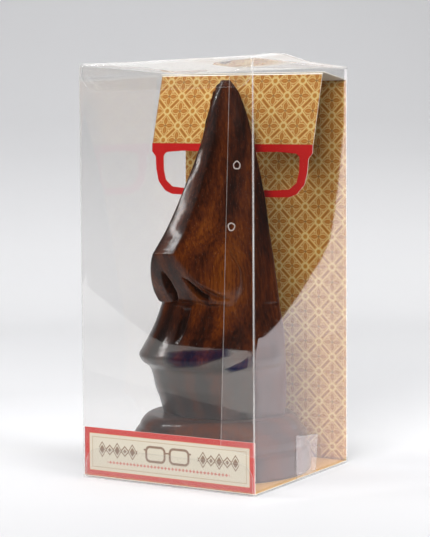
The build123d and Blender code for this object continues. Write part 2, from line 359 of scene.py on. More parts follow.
def pattern_nodes(k, pitch=13.6, phase=(0.0, 0.0), gain=1.0):
    """Printed diaper pattern of diamonds: cream-edged bands with a brown bar, ringed crossings and four-petalled flowers."""
    sep = k.n("SeparateXYZ")
    k.link(k.uv(), sep.inputs[0])
    u = k.math("MULTIPLY_ADD", sep.outputs[0], 100.0, phase[0])
    v = k.math("MULTIPLY_ADD", sep.outputs[1], 100.0, phase[1])
    a = k.math("DIVIDE", k.math("ADD", u, v), pitch)
    b = k.math("DIVIDE", k.math("SUBTRACT", u, v), pitch)
    g = pitch / math.sqrt(2)
    # to the nearest band and crossing
    ta = k.math("SUBTRACT", k.math("FRACT", k.math("ADD", a, 0.5)), 0.5)
    tb = k.math("SUBTRACT", k.math("FRACT", k.math("ADD", b, 0.5)), 0.5)
    da = k.math("MULTIPLY", k.math("ABSOLUTE", ta), g)
    db = k.math("MULTIPLY", k.math("ABSOLUTE", tb), g)
    dl = k.math("MINIMUM", da, db)
    rn = k.math("SQRT", k.math("ADD", k.math("MULTIPLY", da, da), k.math("MULTIPLY", db, db)))
    # from the flower's centre
    fa = k.math("SUBTRACT", k.math("FRACT", a), 0.5)
    fb = k.math("SUBTRACT", k.math("FRACT", b), 0.5)
    fu = k.math("ABSOLUTE", k.math("MULTIPLY", k.math("ADD", fa, fb), pitch / 2))
    fv = k.math("ABSOLUTE", k.math("MULTIPLY", k.math("SUBTRACT", fa, fb), pitch / 2))
    m = k.math("MAXIMUM", fu, fv)
    n = k.math("MINIMUM", fu, fv)
    h = k.math("DIVIDE", k.math("SUBTRACT", m, 2.15), 1.95)
    w = k.math("MULTIPLY", k.math("SUBTRACT", 1.0, k.math("MULTIPLY", h, h)), 1.02)
    e = k.math("SUBTRACT", n, w)
    petal = k.step(e, 0.0, 0.3)
    outline = k.math("MULTIPLY", k.step(k.math("ABSOLUTE", k.math("SUBTRACT", e, 0.12)), 0.32, 0.26), k.step(m, 4.3, 0.3))
    vein = k.math("MULTIPLY", k.step(n, 0.1, 0.16), k.step(m, 2.9, 1.0))
    dark = k.math("MULTIPLY", k.step(n, 0.15, 0.22), k.step(m, 0.75, 0.3))
    du, dv = k.math("SUBTRACT", fu, 2.1), k.math("SUBTRACT", fv, 2.2)
    rd = k.math("SQRT", k.math("ADD", k.math("MULTIPLY", du, du), k.math("MULTIPLY", dv, dv)))
    dot = k.step(rd, 0.42, 0.3)
    leaf = k.step(k.math("ABSOLUTE", k.math("SUBTRACT", rd, 0.95)), 0.22, 0.3)
    leaf = k.math("MULTIPLY", leaf, k.step(k.math("SUBTRACT", 2.0, dl), 0.0, 0.3))

    def tone(r, g_, b_):
        pale = (1.08, 1.0, 0.78) if b_ > 70 else (1.12, 0.93, 0.4)
        return tuple(0.73 * c * gain * f for c, f in zip(lin(r, g_, b_), pale))

    ground = tone(192, 128, 38)
    col = k.mix(k.math("MULTIPLY", leaf, 0.5), ground, tone(156, 94, 26))
    col = k.mix(k.math("MULTIPLY", outline, 1.0), col, tone(230, 202, 142))
    col = k.mix(petal, col, tone(184, 122, 36))
    col = k.mix(k.math("MULTIPLY", vein, 0.5), col, tone(228, 194, 128))
    col = k.mix(dark, col, tone(116, 68, 22))
    col = k.mix(dot, col, tone(236, 208, 156))
    band = k.step(dl, 1.32, 0.22)
    col = k.mix(band, col, tone(234, 210, 154))
    inner = k.step(dl, 0.74, 0.26)
    col = k.mix(inner, col, tone(198, 140, 50))
    bar = k.math("MULTIPLY", k.step(dl, 0.3, 0.25), k.step(k.math("SUBTRACT", 2.55, rn), 0.0, 0.3))
    col = k.mix(k.math("MULTIPLY", bar, 0.7), col, tone(138, 80, 22))
    disc = k.step(rn, 2.0, 0.3)
    col = k.mix(disc, col, tone(234, 210, 154))
    col = k.mix(k.step(rn, 1.05, 0.3), col, tone(190, 136, 52))
    return col


def card_material(name, phase=(0.0, 0.0), gain=1.0):
    k = Nodes(name)
    col = pattern_nodes(k, phase=phase, gain=gain)
    p = k.obj()
    ink = k.noise(p, 900.0, 2.0, 0.6)
    col = k.mix(k.math("MULTIPLY", ink, 0.06), col, lin(236, 214, 170))
    worn = k.noise(p, 90.0, 3.0, 0.6)
    col = k.mix(k.math("MULTIPLY", worn, 0.10), col, lin(140, 84, 30))
    b = k.principled(Base_Color=col)
    b.inputs["Roughness"].default_value = 0.5
    b.inputs["Specular IOR Level"].default_value = 0.35
    b.inputs["Sheen Weight"].default_value = 0.05
    k.link(k.bump(k.noise(p, 1400.0, 3.0, 0.6), 0.25, 0.00008), b.inputs["Normal"])
    return k.m


def plain_card(name, colour, fleck, rough=0.55, spec=0.35, amount=0.25):
    """Card in one printed colour, with paper fibre and slight mottling."""
    k = Nodes(name)
    p = k.obj()
    f = k.noise(p, 700.0, 4.0, 0.65)
    col = k.mix(k.math("MULTIPLY", k.math("MULTIPLY_ADD", f, 2.4, -0.7, clamp=True), amount), colour, fleck)
    b = k.principled(Base_Color=col)
    b.inputs["Roughness"].default_value = rough
    b.inputs["Specular IOR Level"].default_value = spec
    k.link(k.bump(f, 0.3, 0.00008), b.inputs["Normal"])
    return k.m


def label_material(name, width, height):
    """Front label: red border, cream field, fine brown rule, a small pair of drawn eyeglasses and an ornament row. No words."""
    k = Nodes(name)
    sep = k.n("SeparateXYZ")
    k.link(k.uv(), sep.inputs[0])
    u = k.math("MULTIPLY", sep.outputs[0], 100.0)
    v = k.math("MULTIPLY", sep.outputs[1], 100.0)
    cx, cy = width / 2, height / 2

    def boxd(x0, y0, hx, hy, r):
        """signed distance to a rounded box"""
        qx = k.math("SUBTRACT", k.math("ABSOLUTE", k.math("SUBTRACT", u, x0)), hx - r)
        qy = k.math("SUBTRACT", k.math("ABSOLUTE", k.math("SUBTRACT", v, y0)), hy - r)
        mx, my = k.math("MAXIMUM", qx, 0.0), k.math("MAXIMUM", qy, 0.0)
        out = k.math("SQRT", k.math("ADD", k.math("MULTIPLY", mx, mx), k.math("MULTIPLY", my, my)))
        return k.math("SUBTRACT", k.math("ADD", out, k.math("MINIMUM", k.math("MAXIMUM", qx, qy), 0.0)), r)

    edge = boxd(cx, cy, cx, cy, 0.01)
    cream = lin(204, 197, 180)
    red = lin(186, 24, 26)
    brown = lin(112, 74, 46)
    col = k.mix(k.step(k.math("ADD", edge, 2.5), 0.0, 0.15), red, cream)
    rule = k.step(k.math("ABSOLUTE", k.math("ADD", edge, 4.0)), 0.16, 0.18)
    col = k.mix(k.math("MULTIPLY", rule, 0.75), col, lin(168, 136, 96))
    gold = k.step(k.math("ABSOLUTE", k.math("ADD", edge, 2.55)), 0.12, 0.15)
    col = k.mix(k.math("MULTIPLY", gold, 0.6), col, lin(206, 160, 96))
    my = cy + 1.35
    # eyeglasses
    marks = []
    for side in (-1, 1):
        lens = boxd(cx + side * 5.9, my, 4.6, 3.1, 1.9)
        marks.append(k.step(k.math("ABSOLUTE", lens), 0.52, 0.2))
        marks.append(k.step(boxd(cx + side * 10.9, my + 1.7, 0.9, 0.36, 0.3), 0.0, 0.2))
    marks.append(k.step(boxd(cx, my + 1.0, 1.5, 0.34, 0.3), 0.0, 0.2))
    # scrolls either side: rows of lozenges of changing size
    su = k.math("ABSOLUTE", k.math("SUBTRACT", u, cx))
    cell = k.math("FRACT", k.math("DIVIDE", su, 3.9))
    lx = k.math("MULTIPLY", k.math("ABSOLUTE", k.math("SUBTRACT", cell, 0.5)), 3.9)
    ly = k.math("ABSOLUTE", k.math("SUBTRACT", v, my))
    size = k.math("MULTIPLY_ADD", k.math("SINE", k.math("MULTIPLY", su, 0.805)), 0.5, 2.9)
    loz = k.math("SUBTRACT", k.math("ADD", k.math("MULTIPLY", lx, 1.25), ly), size)
    span = k.math("MULTIPLY", k.step(k.math("SUBTRACT", 15.0, su), 0.0, 0.2), k.step(su, 34.8, 0.2))
    marks.append(k.math("MULTIPLY", k.step(k.math("ABSOLUTE", k.math("ADD", loz, 0.3)), 0.36, 0.2), span))
    marks.append(k.math("MULTIPLY", k.step(k.math("ADD", loz, 1.4), 0.0, 0.2), span))
    mark = marks[0]
    for x in marks[1:]:
        mark = k.math("MAXIMUM", mark, x)
    col = k.mix(k.math("MULTIPLY", mark, 0.92), col, brown)
    # fine red row under it
    fx = k.math("ABSOLUTE", k.math("SUBTRACT", k.math("FRACT", k.math("DIVIDE", su, 1.75)), 0.5))
    bead = k.math("SUBTRACT", k.math("ADD", k.math("MULTIPLY", fx, 1.75), k.math("ABSOLUTE", k.math("SUBTRACT", v, cy - 4.0))), 0.74)
    row = k.math("MULTIPLY", k.step(bead, 0.0, 0.2), k.step(su, 30.4, 0.2))
    col = k.mix(k.math("MULTIPLY", row, 0.85), col, lin(190, 74, 62))
    # the creased foot of the label has lost flecks of ink
    p = k.obj()
    wear = k.noise(p, 1300.0, 3.0, 0.7)
    low = k.math("MULTIPLY", k.step(v, 0.55, 0.9), k.step(k.math("SUBTRACT", 0.52, wear), 0.0, 0.1))
    col = k.mix(low, col, lin(214, 150, 80))
    fibre = k.noise(p, 900.0, 4.0, 0.6)
    col = k.mix(k.math("MULTIPLY", fibre, 0.1), col, lin(200, 186, 150))
    b = k.principled(Base_Color=col)
    b.inputs["Roughness"].default_value = 0.42
    b.inputs["Specular IOR Level"].default_value = 0.4
    k.link(k.bump(fibre, 0.25, 0.00006), b.inputs["Normal"])
    return k.m


M_WOOD = wood_material("wood_nose", (0.09, 0.03, 0.01), 0.5, True)
M_WOOD2 = wood_material("wood_plinth", (0.05, -0.06, 0.02), 0.6)
# painted shade: a much darker, less glossy copy of the nose wood for the deep insides of the nostrils
M_NOSTRIL_SHADE = wood_material("wood_nostril_painted_shade", (0.09, 0.03, 0.01), 0.28, False, 0.15)
M_FILM = film_material("clear_film", haze=0.0015)
M_FLAP = film_material("clear_film_flaps", haze=0.03, ripple=0.05, graze=0.35, share=0.8)
M_LID = film_material("clear_film_lid", haze=0.03, ripple=0.06, graze=0.95, share=0.85)
M_TAPE = film_material("clear_tape", haze=0.06, ripple=0.3)
M_CARD = card_material("card_pattern", phase=(0.0, 0.0))
M_EDGE = plain_card("card_cut_edge", lin(252, 247, 236), lin(236, 226, 206))
M_RED = plain_card("card_red", lin(190, 24, 22), lin(156, 16, 16), 0.45, 0.35)


# ------------------------------------------------------------------ the carved nose
TOP = [
    (75.2, 23.0, 15.0, 17.5, 19.5, 11.0, 21.6, -10.8, 26.8),
    (79.0, 25.4, 15.5, 15.0, 21.3, 9.5, 21.4, -10.6, 26.4),
    (84.0, 29.2, 13.6, 13.0, 22.9, 10.0, 21.4, -10.3, 25.8),
    (89.0, 32.4, 11.0, 12.8, 23.0, 10.5, 21.0, -10.1, 25.0),
    (94.0, 35.0, 8.2, 14.6, 21.4, 11.5, 19.6, -9.9, 24.4),
    (97.0, 36.2, 6.2, 16.4, 19.8, 12.5, 18.4, -9.7, 23.9),
    (101.0, 32.8, 6.1, 16.5, 17.2, 12.0, 17.4, -9.5, 23.2),
    (106.0, 28.8, 5.9, 14.5, 14.8, 10.0, 16.6, -9.2, 22.4),
    (112.0, 24.9, 5.6, 12.0, 12.8, 6.5, 15.8, -8.9, 21.6),
    (120.0, 19.9, 5.2, 8.0, 12.0, 3.0, 14.8, -8.5, 20.4),
    (130.0, 14.7, 4.6, 5.0, 10.5, 1.0, 13.2, -8.0, 18.4),
    (140.0, 9.9, 3.8, 3.0, 8.4, -0.5, 10.9, -7.5, 16.1),
    (150.0, 5.8, 3.1, 1.0, 6.4, -2.0, 8.7, -7.0, 13.8),
    (160.0, 2.3, 2.4, -1.0, 4.7, -3.2, 6.5, -6.6, 11.5),
    (166.0, 0.0, 1.9, -2.2, 3.6, -4.0, 5.1, -6.3, 9.5),
    (169.0, -1.4, 1.6, -3.0, 2.8, -4.2, 3.9, -6.2, 6.9),
    (171.5, -2.9, 1.2, -3.6, 1.6, -4.4, 1.9, -6.0, 2.6),
]
LOW = [
    (26.0, 22.6, 26.0, -13.3, 27.4),
    (33.0, 25.6, 27.0, -12.9, 28.6),
    (38.0, 28.4, 27.6, -12.7, 29.1),
    (43.0, 29.8, 28.2, -12.4, 29.2),
    (47.0, 31.4, 29.4, -12.2, 29.2),
    (50.0, 35.8, 31.6, -12.1, 29.2),
    (52.5, 37.2, 32.2, -12.0, 29.2),
    (55.0, 35.6, 31.4, -11.8, 29.0),
    (60.0, 32.0, 29.4, -11.6, 28.8),
    (66.0, 28.8, 27.0, -11.3, 28.2),
    (74.8, 25.6, 24.2, -10.8, 26.8),
]


def pchip(xs, ys, x):
    """Monotone cubic through (xs, ys), so a profile has no kinks and no overshoot."""
    xs, ys = np.asarray(xs, float), np.asarray(ys, float)
    hstep = np.diff(xs)
    d = np.diff(ys) / hstep
    m = np.zeros(len(xs))
    for i in range(1, len(xs) - 1):
        if d[i - 1] * d[i] > 0:
            w1, w2 = 2 * hstep[i] + hstep[i - 1], hstep[i] + 2 * hstep[i - 1]
            m[i] = (w1 + w2) / (w1 / d[i - 1] + w2 / d[i])
    m[0], m[-1] = d[0], d[-1]
    i = np.clip(np.searchsorted(xs, x, side="right") - 1, 0, len(xs) - 2)
    t = (np.clip(x, xs[0], xs[-1]) - xs[i]) / hstep[i]
    return (ys[i] * (1 + 2 * t) * (1 - t) ** 2 + m[i] * hstep[i] * t * (1 - t) ** 2
            + ys[i + 1] * t * t * (3 - 2 * t) + m[i + 1] * hstep[i] * t * t * (t - 1))


def table_at(rows, z):
    rows = np.asarray(rows, float)
    return [float(pchip(rows[:, 0], rows[:, c], z)) for c in range(1, rows.shape[1])]


def half_low(z):
    a, b, u3, w3 = table_at(LOW, z)
    e = 2.0 / 2.15
    pts = []
    for d in (0, 14, 28, 40, 52, 64, 77):
        t = math.radians(d)
        pts.append((a * math.cos(t) ** e, b * math.sin(t) ** e))
    pts += [(0.0, b), (u3 * 0.5, b + (w3 - b) * 0.5), (u3 + 2.2, w3), (u3, w3 - 2.4), (u3 - 0.4, w3 * 0.5), (u3 - 0.5, 0.0)]
    return pts


TOP_LOW = [r for r in TOP if r[0] <= 97.0]
TOP_HIGH = [r for r in TOP if r[0] >= 97.0]


def between(p, q, t):
    return (p[0] + (q[0] - p[0]) * t, p[1] + (q[1] - p[1]) * t)


def half_top(z):
    u0, w0, u1, w1, u2, w2, u3, w3 = table_at(TOP_LOW if z < 97.0 else TOP_HIGH, z)
    w3 *= 1.0 - 0.16 * float(smoothstep(152, 170, z))
    rr = min(2.2, w3 * (0.3 + 0.2 * float(smoothstep(158, 168, z))))
    a, b, g, kk = (u0, w0), (u1, w1), (u2, w2), (u3, w3)
    return [(u0 + 0.25, 0.0), (u0 + 0.15, w0 * 0.55), (u0 - 0.02, w0 * 0.9), (u0 - 0.12, w0 * 0.985), between(a, b, 0.04), between(a, b, 0.14),
            between(a, b, 0.45), between(a, b, 0.78), b, g, between(g, kk, 0.5), (u3 + rr, w3), (u3, w3 - rr), (u3 - 0.4, w3 * 0.45), (u3 - 0.5, 0.0)]


def closed_spline(points, per=14):
    """Centripetal-like Catmull-Rom through a closed ring."""
    p = np.asarray(points, float)
    n = len(p)
    out = []
    for i in range(n):
        p0, p1, p2, p3 = p[i - 1], p[i], p[(i + 1) % n], p[(i + 2) % n]
        c = lambda a, b: max(np.linalg.norm(b - a), 1e-6) ** 0.5
        t01, t12, t23 = c(p0, p1), c(p1, p2), c(p2, p3)
        m1 = (p2 - p1 + t12 * ((p1 - p0) / t01 - (p2 - p0) / (t01 + t12)))
        m2 = (p2 - p1 + t12 * ((p3 - p2) / t23 - (p3 - p1) / (t12 + t23)))
        for s in np.linspace(0, 1, per, endpoint=False):
            out.append((2 * s**3 - 3 * s**2 + 1) * p1 + (s**3 - 2 * s**2 + s) * m1 + (-2 * s**3 + 3 * s**2) * p2 + (s**3 - s**2) * m2)
    return np.array(out)


def centre_u(z):
    return -4.5 * float(smoothstep(96, 168, z))


def radii(half, z, angles):
    """radius from the moving centre at each angle, from the section's spline"""
    ring = half + [(u, -w) for u, w in half[-2:0:-1]]
    c = closed_spline(ring)
    c[:, 0] -= centre_u(z)
    a = np.arctan2(c[:, 1], c[:, 0])
    r = np.hypot(c[:, 0], c[:, 1])
    o = np.argsort(a)
    a, r = a[o], r[o]
    a = np.concatenate([a - 2 * np.pi, a, a + 2 * np.pi])
    r = np.concatenate([r, r, r])
    return np.interp(angles, a, r)


# more columns at the front, where the carving is
base_t = np.linspace(-1, 1, 321)[:-1]
ANG = np.pi * (0.62 * base_t + 0.38 * base_t**3)
ZS = np.unique(np.round(np.concatenate([
    np.linspace(26.0, 46, 24), np.linspace(46, 56, 24), np.linspace(56, 73, 22), np.linspace(73, 77, 16), np.linspace(77, 95, 44),
    np.linspace(95, 98.5, 16), np.linspace(98.5, 112, 26), np.linspace(112, 166, 60), np.linspace(166, 171.5, 16)]), 4))


def inside(poly, w, z):
    """signed distance (mm) to a closed outline drawn on the (w, z) face, negative inside"""
    p = np.asarray(poly, float)
    best = np.full(w.shape, 1e9)
    odd = np.zeros(w.shape, bool)
    for (x0, y0), (x1, y1) in zip(p, np.roll(p, -1, 0)):
        ex, ey = x1 - x0, y1 - y0
        t = np.clip(((w - x0) * ex + (z - y0) * ey) / (ex * ex + ey * ey), 0, 1)
        best = np.minimum(best, np.hypot(w - x0 - ex * t, z - y0 - ey * t))
        hit = (y0 > z) != (y1 > z)
        odd ^= hit & (w < x0 + (z - y0) * ex / (ey if ey else 1e-9))
    return np.where(odd, -best, best)


NEAR_NOSTRIL = [(6.3, 87.2), (8.6, 86.9), (12.6, 83.0), (16.4, 79.6), (15.2, 77.2), (10.2, 78.0), (7.8, 82.0)]
FAR_NOSTRIL = [(-2.6, 89.6), (-4.5, 88.8), (-6.3, 84.0), (-7.3, 79.6), (-6.4, 76.0), (-2.8, 76.3), (-0.9, 80.5), (-0.8, 85.0)]
UNDER_WING = [(11.4, 87.2), (17.8, 80.4), (20.4, 77.6), (17.4, 77.4), (13.6, 82.4)]
PHILTRUM = [(1.2, 73.8), (6.2, 73.6), (5.6, 63.0), (4.6, 59.5), (2.2, 60.0)]


def carve(u, w, z):
    """How far the surface is cut in (mm): nostrils, the chiselled band under the wing, the philtrum."""
    front = smoothstep(6, 11, u)
    out = 8.0 * smoothstep(0.25, -2.4, inside(NEAR_NOSTRIL, w, z))
    out = np.maximum(out, 9.0 * smoothstep(0.25, -2.4, inside(FAR_NOSTRIL, w, z)))
    out = np.maximum(out, 1.5 * smoothstep(0.2, -0.9, inside(UNDER_WING, w, z)))
    out = np.maximum(out, 0.8 * smoothstep(0.3, -0.9, inside(PHILTRUM, w, z)))
    return front * out


def build_nose():
    rows = []
    for z in ZS:
        lowr = radii(half_low(min(z, 74.8)), z, ANG) if z < 77.2 else None
        topr = radii(half_top(max(z, 75.2)), z, ANG) if z > 74.0 else None
        if topr is None:
            r = lowr
        elif lowr is None:
            r = topr
        else:
            f = float(smoothstep(74.6, 75.8, z))
            r = lowr * (1 - f) + topr * f
        rows.append(r)
    R = np.array(rows)
    # soften the facets a little, as sanding does; less across the crisp nose-tip edge
    k = np.array([0.25, 0.5, 0.25])
    for _ in range(2):
        R = sum(np.roll(R, s, 1) * c for s, c in zip((-1, 0, 1), k))
    Rz = R.copy()
    Rz[1:-1] = R[:-2] * 0.25 + R[1:-1] * 0.5 + R[2:] * 0.25
    R = Rz
    Z = np.repeat(ZS[:, None], len(ANG), 1)
    A = np.repeat(ANG[None, :], len(ZS), 0)
    CU = np.array([centre_u(z) for z in ZS])[:, None]
    U = CU + R * np.cos(A)
    W = R * np.sin(A)
    cut = carve(U, W, Z)
    R = R - cut
    # hand-carved unevenness
    bump = noise2((A / (2 * np.pi) + 0.5), (Z - 26) / 146.0, 3, 9) * 0.22 + noise2((A / (2 * np.pi) + 0.5), (Z - 26) / 146.0, 5, 22) * 0.08
    seam = smoothstep(0, 0.06, np.abs(np.abs(A) / np.pi - 1))
    R = R + bump * seam * smoothstep(171.5, 168, Z) * smoothstep(26, 30, Z)
    U = CU + R * np.cos(A)
    W = R * np.sin(A)
    X = AXIS[0] + U * NX - W * NY
    Y = AXIS[1] + U * NY + W * NX
    V = np.stack([X, Y, Z], -1).reshape(-1, 3)
    rows_n, cols = len(ZS), len(ANG)
    faces = grid_faces(rows_n, cols, wrap=True)
    bottom, top = len(V), len(V) + 1
    cu = CU[-1, 0]
    V = np.concatenate([V, [[AXIS[0], AXIS[1], ZS[0]], [AXIS[0] + cu * NX, AXIS[1] + cu * NY, 171.65]]])
    for j in range(cols):
        faces.append((bottom, (j + 1) % cols, j))
        faces.append((top, (rows_n - 1) * cols + j, (rows_n - 1) * cols + (j + 1) % cols))
    deep = np.append(cut.ravel(), [0.0, 0.0])
    # faces cut deeper than 1.7 mm get the painted-shade wood
    fm = [1 if min(deep[i] for i in f) > 1.7 else 0 for f in faces]
    return new_mesh("nose_column_carved", V, faces, M_WOOD, "holder", ["nose_column"], mats=[M_WOOD, M_NOSTRIL_SHADE], face_mats=fm)


def lathe(name, profile, mat, body, stands_for, cols=192, centre=AXIS, z0=0.0, wobble=0.0):
    """Closed turned piece from (r, z) points; the first and last lie on the axis."""
    prof = np.asarray(profile, float)
    a = np.linspace(0, 2 * np.pi, cols, endpoint=False)
    V, faces = [], []
    inner = prof[1:-1]
    for r, z in inner:
        rr = r * (1 + wobble * np.sin(3 * a + z) * 0.5)
        V += [(centre[0] + x, centre[1] + y, z0 + z) for x, y in zip(rr * np.cos(a), rr * np.sin(a))]
    faces = grid_faces(len(inner), cols, wrap=True)
    lo_i, hi_i = len(V), len(V) + 1
    V += [(centre[0], centre[1], z0 + prof[0][1]), (centre[0], centre[1], z0 + prof[-1][1])]
    for j in range(cols):
        faces.append((lo_i, (j + 1) % cols, j))
        faces.append((hi_i, (len(inner) - 1) * cols + j, (len(inner) - 1) * cols + (j + 1) % cols))
    return new_mesh(name, np.array(V), faces, mat, body, stands_for)


def round_profile(points, radius, steps=5):
    """Rounds the corners of a profile polyline by small arcs."""
    p = [np.array(q, float) for q in points]
    out = [p[0]]
    for a, b, c in zip(p, p[1:], p[2:]):
        la, lc = np.linalg.norm(a - b), np.linalg.norm(c - b)
        d = min(radius, la * 0.45, lc * 0.45)
        s, e = b + (a - b) / la * d, b + (c - b) / lc * d
        for t in np.linspace(0, 1, steps):
            out.append((1 - t) ** 2 * s + 2 * t * (1 - t) * b + t * t * e)
    out.append(p[-1])
    return out


build_nose()
plinth_profile = [(0, 0), (38.8, 0), (40.0, 1.2), (40.0, 9.6), (39.3, 10.9), (38.1, 11.5), (38.0, 12.5), (38.35, 13.5), (38.3, 15.2),
                  (37.5, 17.3), (36.3, 18.8), (35.7, 19.5), (35.45, 20.3), (34.9, 21.5), (33.85, 23.0), (32.4, 24.25), (31.0, 24.85), (29.5, 24.95), (0, 24.95)]
lathe("base_plinth_turned", [tuple(q) for q in round_profile(plinth_profile, 0.45)], M_WOOD2, "holder", ["base_plinth"], z0=HOLDER_Z)
lathe("joining_dowel_turned", [tuple(q) for q in round_profile([(0, 0), (4.2, 0), (5.0, 0.9), (5.0, 23.1), (4.2, 24.0), (0, 24.0)], 0.3)],
      M_WOOD2, "holder", ["joining_dowel"], cols=48, z0=HOLDER_Z + 25.0 - 12.0)


# ------------------------------------------------------------------ clear carton
def bow(side, s, z):
    """how far a wall leans inwards (mm) at s along it"""
    c = np.clip(1 - (np.asarray(s) / H) ** 2, 0, 1) * np.sin(np.pi * np.clip(np.asarray(z) / 177.0, 0, 1))
    amp = {"front": 0.10, "right": 0.12, "back": 0.0, "left": 0.10}[side]
    return amp * c


def sleeve():
    r = 0.7
    n = 30
    s = np.linspace(-H + r, H - r, n)
    cols = []   # (x, y, nx, ny, side, s)
    arcs = lambda cx, cy, a0: [(cx + r * math.cos(a), cy + r * math.sin(a), math.cos(a), math.sin(a), None, 0.0)
                               for a in np.linspace(a0, a0 + math.pi / 2, 8)[1:-1]]
    cols += [(x, -H, 0, -1, "front", x) for x in s]
    cols += arcs(H - r, -H + r, -math.pi / 2)
    cols += [(H, y, 1, 0, "right", y) for y in s]
    cols += arcs(H - r, H - r, 0.0)
    cols += [(-x, H, 0, 1, "back", -x) for x in s]
    cols += arcs(-H + r, H - r, math.pi / 2)
    cols += [(-H, -y, -1, 0, "left", -y) for y in s]
    cols += arcs(-H + r, -H + r, math.pi)
    zz = np.concatenate([[0.36, 0.7, 1.4], np.linspace(3, 174, 58), [175.6, 176.4, 176.9]])
    outer, inner, crease = [], [], []
    for z in zz:
        for x, y, nx, ny, side, t in cols:
            top = 177.45 if y > H - 1.0 else 176.93
            zc = z if z < 170 else 170 + (z - 170) * (top - 170) / (176.9 - 170)
            d = bow(side, t, z) if side else 0.0
            outer.append((x - nx * d, y - ny * d, zc))
            inner.append((x - nx * (d + T), y - ny * (d + T), zc))
    nc, nr = len(cols), len(zz)
    V = np.array(outer + inner)
    N = nc * nr
    F = grid_faces(nr, nc, wrap=True) + grid_faces(nr, nc, wrap=True, offset=N, flip=True)
    M = []
    for _ in range(2):
        for i in range(nr - 1):
            for j in range(nc):
                M.append(1 if cols[j][4] is None or cols[(j + 1) % nc][4] is None else (2 if i in (0,) else 0))
    for j in range(nc):
        k2 = (j + 1) % nc
        F.append((k2, j, N + j, N + k2)); M.append(3)
        a, b = (nr - 1) * nc + j, (nr - 1) * nc + k2
        F.append((a, b, N + b, N + a)); M.append(3)
    return new_mesh("carton_sleeve", V, F, M_FILM, "carton", ["carton_front_wall", "carton_right_wall", "carton_left_wall", "carton_back_wall"],
                    mats=[M_FILM, M_CREASE, M_CREASE, M_CUT], face_mats=M)


def film_sheet(name, grid, normal, thick, stands, body, mat=None, crease_rows=(), crease_cols=()):
    """Thin clear sheet; its cut edges are whiter and its creases a little milky."""
    V, F = sheet_solid(grid, normal, thick)
    rows, cols = grid.shape[:2]
    per = [1 if (i in crease_rows or j in crease_cols) else 0 for i in range(rows - 1) for j in range(cols - 1)]
    M = per + per + [2] * (len(F) - 2 * len(per))
    return new_mesh(name, V, F, mat or M_FILM, body, stands, mats=[mat or M_FILM, M_CREASE, M_CUT], face_mats=M)


M_CREASE = film_material("film_crease", haze=0.34)
M_CUT = film_material("film_cut_edge", haze=0.85)
M_GLUE = plain_card("glue", lin(182, 172, 166), lin(160, 150, 146), 0.25, 0.6)
M_BACKING = plain_card("card_reverse", lin(232, 226, 212), lin(206, 196, 176))
M_TAN = plain_card("card_floor_print", lin(222, 170, 92), lin(196, 140, 66), 0.5, 0.35, 0.35)

sleeve()

# seam flap, behind the front wall
sx, sz = np.meshgrid(np.linspace(0, 1, 26), np.linspace(0, 1, 60))
lowx, highx = 42.42 + (26.5 - 42.42) * sx, 42.42 + (31.7 - 42.42) * sx
lowz, highz = 16.0 + 3.0 * sx, 175.0 - 3.0 * sx
gx, gz = lowx * (1 - sz) + highx * sz, lowz * (1 - sz) + highz * sz
gy = -H + T + bow("front", gx, gz) + 0.01
film_sheet("carton_seam_flap_sheet", np.stack([gx, gy, gz], -1)[:, ::-1], (0, 1, 0), T - 0.02, ["carton_seam_flap"], "carton", crease_cols=(24,))

# glue rings
ringV, ringF = [], []
for cxr, czr in ((34.7, 134.3), (32.0, 109.5)):
    o0 = len(ringV)
    A1, B1 = 48, 10
    y_in = -IN + T + float(bow("front", cxr, czr))
    for i in range(A1):
        a = 2 * math.pi * i / A1
        wob = 1 + 0.05 * math.sin(3 * a + cxr) + 0.03 * math.sin(5 * a)
        for j in range(B1):
            b = 2 * math.pi * j / B1
            rr = (1.5 + 0.27 * math.cos(b)) * wob
            ringV.append((cxr + rr * math.cos(a), y_in + 0.06 + 0.055 * math.sin(b), czr + rr * math.sin(a)))
    for i in range(A1):
        for j in range(B1):
            p, q = (i + 1) % A1, (j + 1) % B1
            ringF.append((o0 + i * B1 + j, o0 + i * B1 + q, o0 + p * B1 + q, o0 + p * B1 + j))
new_mesh("seam_glue_rings", ringV, ringF, M_GLUE, "carton", ["seam_glue_spots"])

# lid, sprung up at the right
LIFT = ((-42.4, 0.0), (-30.6, 1.45), (-22.0, 2.2), (-15.6, 2.4), (-5.0, 1.5), (10.0, 0.2), (42.8, 0.0))
lx, ly = np.meshgrid(np.linspace(-42.25, 42.25, 50), np.linspace(-42.35, 42.75, 60))
share = pchip([-42.3, 5, 18, 28, 36, 42.3], [0, 0, 0.12, 0.42, 0.78, 1.0], lx)
lift = pchip([q[0] for q in LIFT], [q[1] for q in LIFT], ly)
lz = 177.98 + share * lift - 0.28 * 0 - 0.25 * np.exp(-((lx + 18) / 20) ** 2 - ((ly + 42) / 26) ** 2)
film_sheet("lid_sheet", np.stack([lx, ly, lz], -1), (0, 0, -1), T - 0.03, ["lid_panel"], "lid", mat=M_LID,
           crease_rows=(0, 58))

# lid tuck flap with rounded corners
tv, th = np.meshgrid(np.linspace(0, 12.0, 22), np.linspace(-1, 1, 60), indexing="ij")
half = np.where(tv < 5, 41.4, 34.5 + 6.9 * np.sqrt(np.clip(1 - ((tv - 5) / 7.0) ** 2, 0, 1)))
lean = math.atan2(1.4, 12.0)
gx = th * half
gy = -IN + 0.17 + tv * math.sin(lean)
gz = 177.55 - tv * math.cos(lean)
film_sheet("lid_tuck_sheet", np.stack([gx, gy, gz], -1)[:, ::-1], (0, 1, 0), T - 0.04, ["lid_tuck_flap"], "tuck", mat=M_FLAP, crease_rows=(0,))


